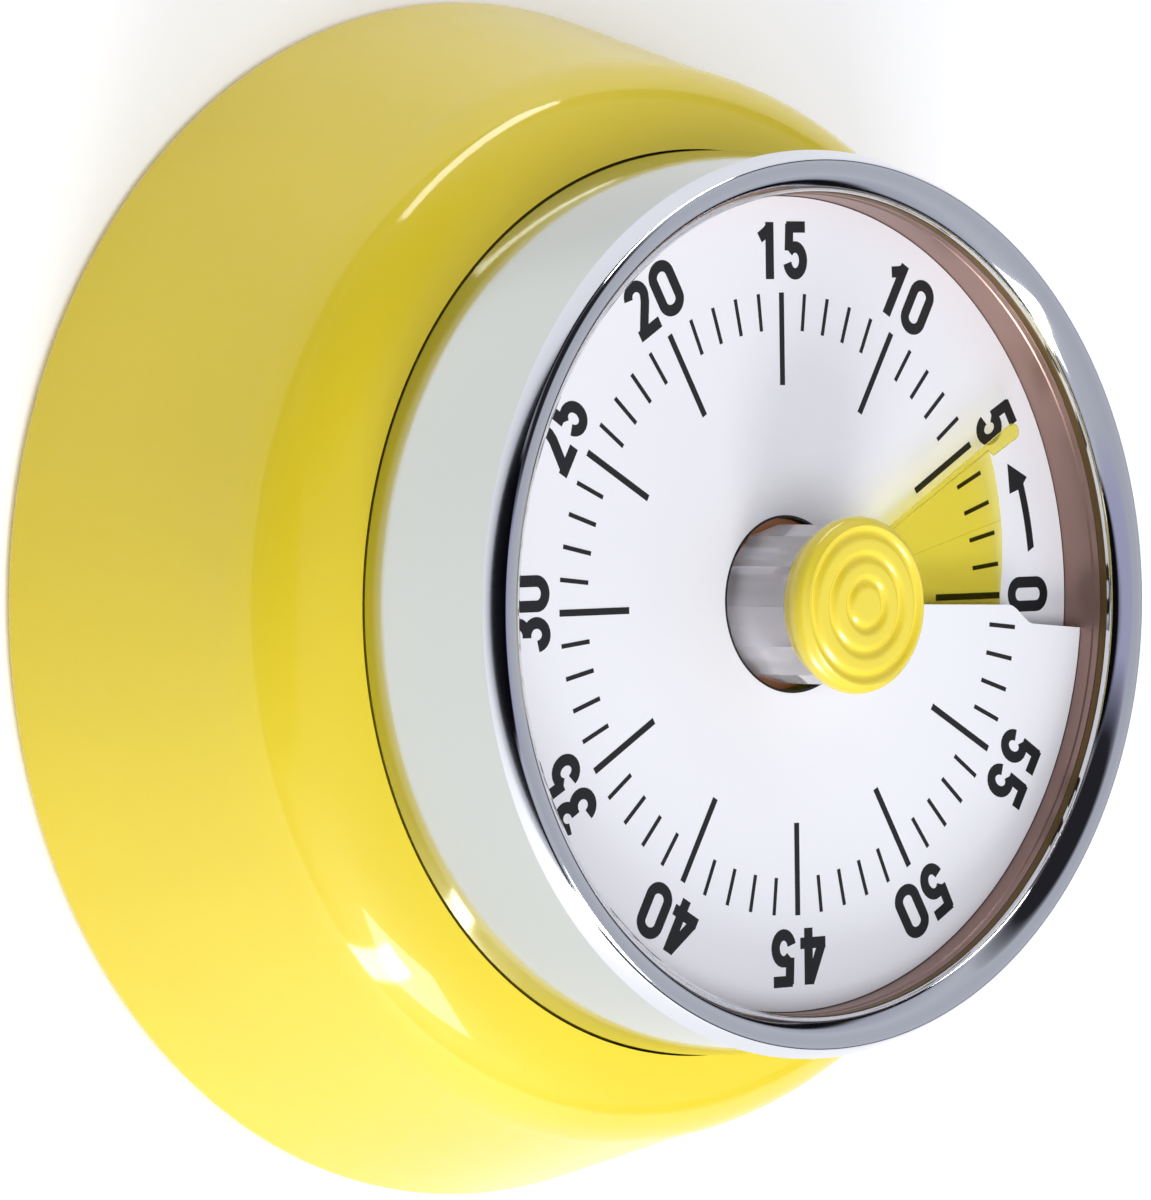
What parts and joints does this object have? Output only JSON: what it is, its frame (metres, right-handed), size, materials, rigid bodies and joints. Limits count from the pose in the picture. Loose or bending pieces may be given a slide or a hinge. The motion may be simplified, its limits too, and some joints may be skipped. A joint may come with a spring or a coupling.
{
  "type": "kitchen timer",
  "caption": "Round wind-up kitchen timer: lacquered tapering case, steel collar, chrome bezel, spiral white dial, tinted film that shows the time left, and a small turning knob.",
  "frame": {"origin": "centre of the back, on the plane that the rubber ring rests on", "axes": "+Z out of the dial, +X towards the zero mark, +Y towards the fifteen minute mark"},
  "size_m": [0.07, 0.07, 0.0332],
  "materials": {
    "yellow_lacquer": "stoved yellow gloss lacquer",
    "satin_steel": "satin stainless",
    "bezel_chrome": "polished chrome",
    "liner_metal": "burnished",
    "dial_white": "satin white",
    "white_plastic": "moulded",
    "screw_steel": "zinc plated",
    "plate_brass": "stamped",
    "bell_steel": "nickel plated",
    "spring_steel": "blued",
    "black_plastic": "fine moulded grain",
    "magnet_nickel": "nickel plated",
    "black_rubber": "matt",
    "arbor_steel": "turned",
    "wheel_brass": "pressed",
    "film_yellow": "clear tinted",
    "hub_brown": "moulded",
    "clear_plastic": "clear moulded",
    "yellow_plastic": "moulded gloss"
  },
  "bodies": {
    "case": {"housing": "yellow_lacquer", "collar": "satin_steel", "bezel": "bezel_chrome", "recess_liner": "liner_metal", "dial": "dial_white", "dial_seat": "white_plastic", "dial_support": "white_plastic", "support_screws": "screw_steel", "front_plate": "plate_brass", "rear_plate": "plate_brass", "pillars": "plate_brass", "pillar_screws": "screw_steel", "movement_screws": "screw_steel", "bell": "bell_steel", "bell_post": "plate_brass", "bell_screw": "screw_steel", "mainspring": "spring_steel", "hammer_spring": "spring_steel", "back_cover": "black_plastic", "cover_screws": "screw_steel", "magnets": "magnet_nickel", "rubber_ring": "black_rubber"},
    "knob": {"main_arbor": "arbor_steel", "main_wheel": "wheel_brass", "ratchet_wheel": "arbor_steel", "click": "arbor_steel", "trip_cam": "arbor_steel", "film_disc": "film_yellow", "dial_hub": "hub_brown", "knob_stem": "clear_plastic", "knob_cap": "yellow_plastic", "film_pointer": "film_yellow"},
    "film_tail": {"film_trailing_leaf": "film_yellow"},
    "film_lead": {"film_leading_leaf": "film_yellow"},
    "second_gear": {"second_arbor": "arbor_steel", "second_wheel": "wheel_brass"},
    "third_gear": {"third_arbor": "arbor_steel", "third_wheel": "wheel_brass"},
    "escape_gear": {"escape_arbor": "arbor_steel", "escape_wheel": "arbor_steel"},
    "verge": {"verge_arbor": "arbor_steel", "verge_anchor": "arbor_steel", "verge_disc": "wheel_brass"},
    "trip": {"trip_arbor": "arbor_steel", "trip_lever": "arbor_steel"},
    "hammer": {"hammer_arbor": "arbor_steel", "hammer_arm": "arbor_steel", "hammer_catch": "arbor_steel", "hammer_head": "plate_brass"}
  },
  "joints": [
    {"name": "knob_turn", "type": "hinge", "parent": "case", "child": "knob", "pos_m": [0, 0, 0.011], "axis": [0, 0, 1], "range_deg": [-29, 331]},
    {"name": "film_tail_turn", "type": "hinge", "parent": "case", "child": "film_tail", "pos_m": [0, 0, 0.011], "axis": [0, 0, 1], "range_deg": [-14.5, 165.5]},
    {"name": "film_lead_turn", "type": "hinge", "parent": "knob", "child": "film_lead", "pos_m": [0, 0, 0.011], "axis": [0, 0, 1], "range_deg": [-165.5, 14.5]},
    {"name": "second_gear_spin", "type": "hinge", "parent": "case", "child": "second_gear", "pos_m": [-0.01522, -0.00554, 0.011], "axis": [0, 0, 1], "range_deg": [-1655, 145]},
    {"name": "third_gear_spin", "type": "hinge", "parent": "case", "child": "third_gear", "pos_m": [-0.00997, -0.01463, 0.011], "axis": [0, 0, 1], "range_deg": [-580, 6620]},
    {"name": "escape_gear_spin", "type": "hinge", "parent": "case", "child": "escape_gear", "pos_m": [-0.00186, -0.01681, 0.011], "axis": [0, 0, 1], "range_deg": [-19860, 1740]},
    {"name": "verge_rock", "type": "hinge", "parent": "case", "child": "verge", "pos_m": [0.00541, -0.01744, 0.011], "axis": [0, 0, 1], "range_deg": [-4.5, 4.5]},
    {"name": "trip_lift", "type": "hinge", "parent": "case", "child": "trip", "pos_m": [-0.0075, 0.01299, 0.011], "axis": [0, 0, 1], "range_deg": [0, 5]},
    {"name": "hammer_swing", "type": "hinge", "parent": "case", "child": "hammer", "pos_m": [0.009, 0.01559, 0.011], "axis": [0, 0, 1], "range_deg": [0, 8], "stiffness_Nm_per_rad": 0.002, "springref_deg": -17.19}
  ],
  "couplings": [
    {"joint": "film_tail_turn", "follows": "knob_turn", "ratio": 0.5},
    {"joint": "film_lead_turn", "follows": "knob_turn", "ratio": -0.5},
    {"joint": "second_gear_spin", "follows": "knob_turn", "ratio": -5},
    {"joint": "third_gear_spin", "follows": "knob_turn", "ratio": 20},
    {"joint": "escape_gear_spin", "follows": "knob_turn", "ratio": -60}
  ]
}
